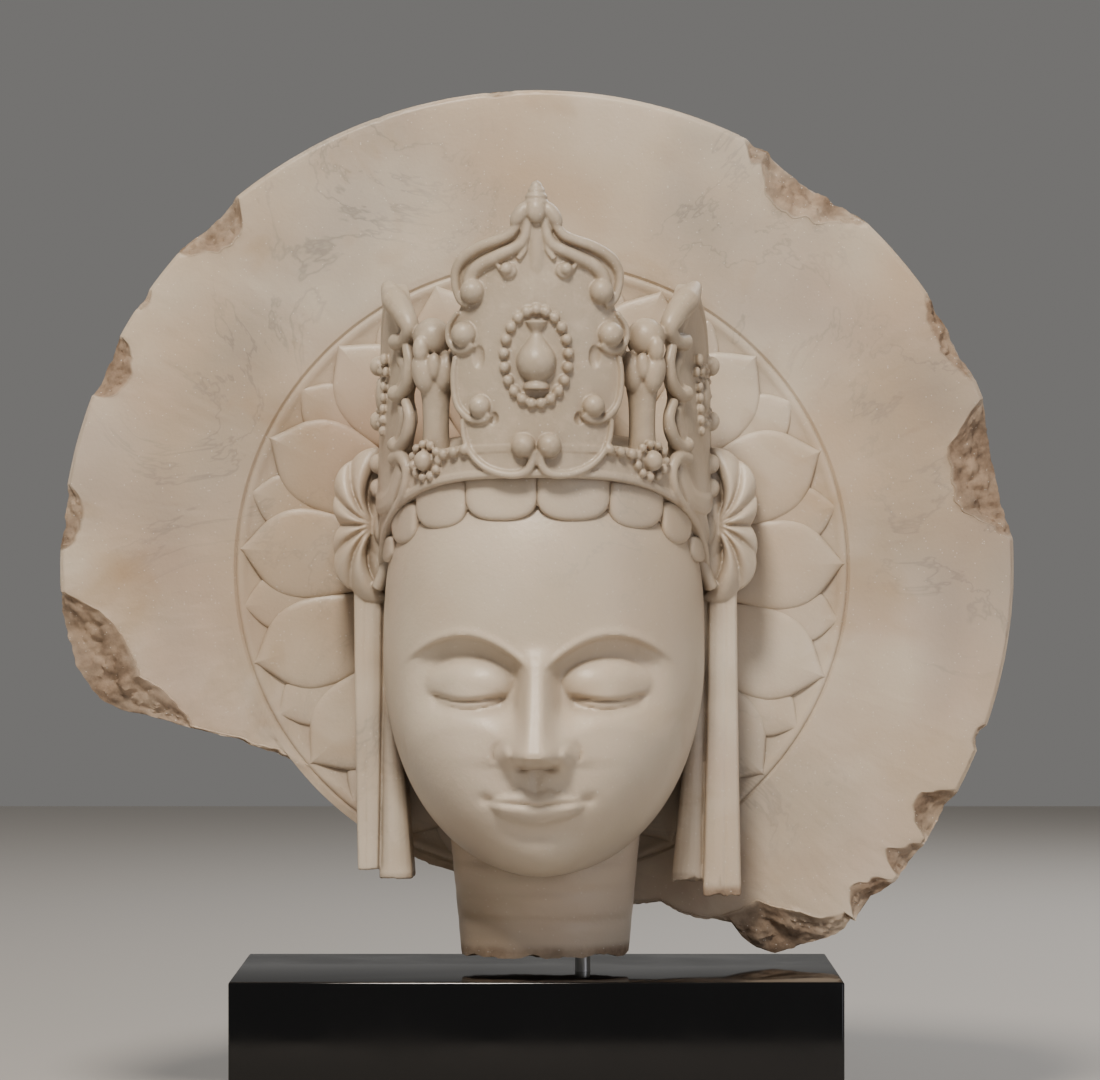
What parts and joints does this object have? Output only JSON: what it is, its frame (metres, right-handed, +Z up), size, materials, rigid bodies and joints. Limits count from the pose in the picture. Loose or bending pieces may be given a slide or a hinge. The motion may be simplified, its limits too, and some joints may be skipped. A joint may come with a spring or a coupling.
{
  "type": "bodhisattva head",
  "caption": "Marble bodhisattva head with a tall crown and a broken round lotus halo, on a steel rod in a glossy black block; for display on a shelf or table.",
  "frame": {"origin": "middle of the block's underside", "axes": "+Z up, the face looks towards -Y, +X to the viewer's right"},
  "size_m": [0.4766, 0.2144, 0.5162],
  "materials": {
    "marble": "honed",
    "rod_steel": "drawn",
    "black_block": "polished"
  },
  "bodies": {
    "root": {"bodhisattva_head": "marble", "stand_rod": "rod_steel", "stand_block": "black_block"}
  },
  "joints": []
}
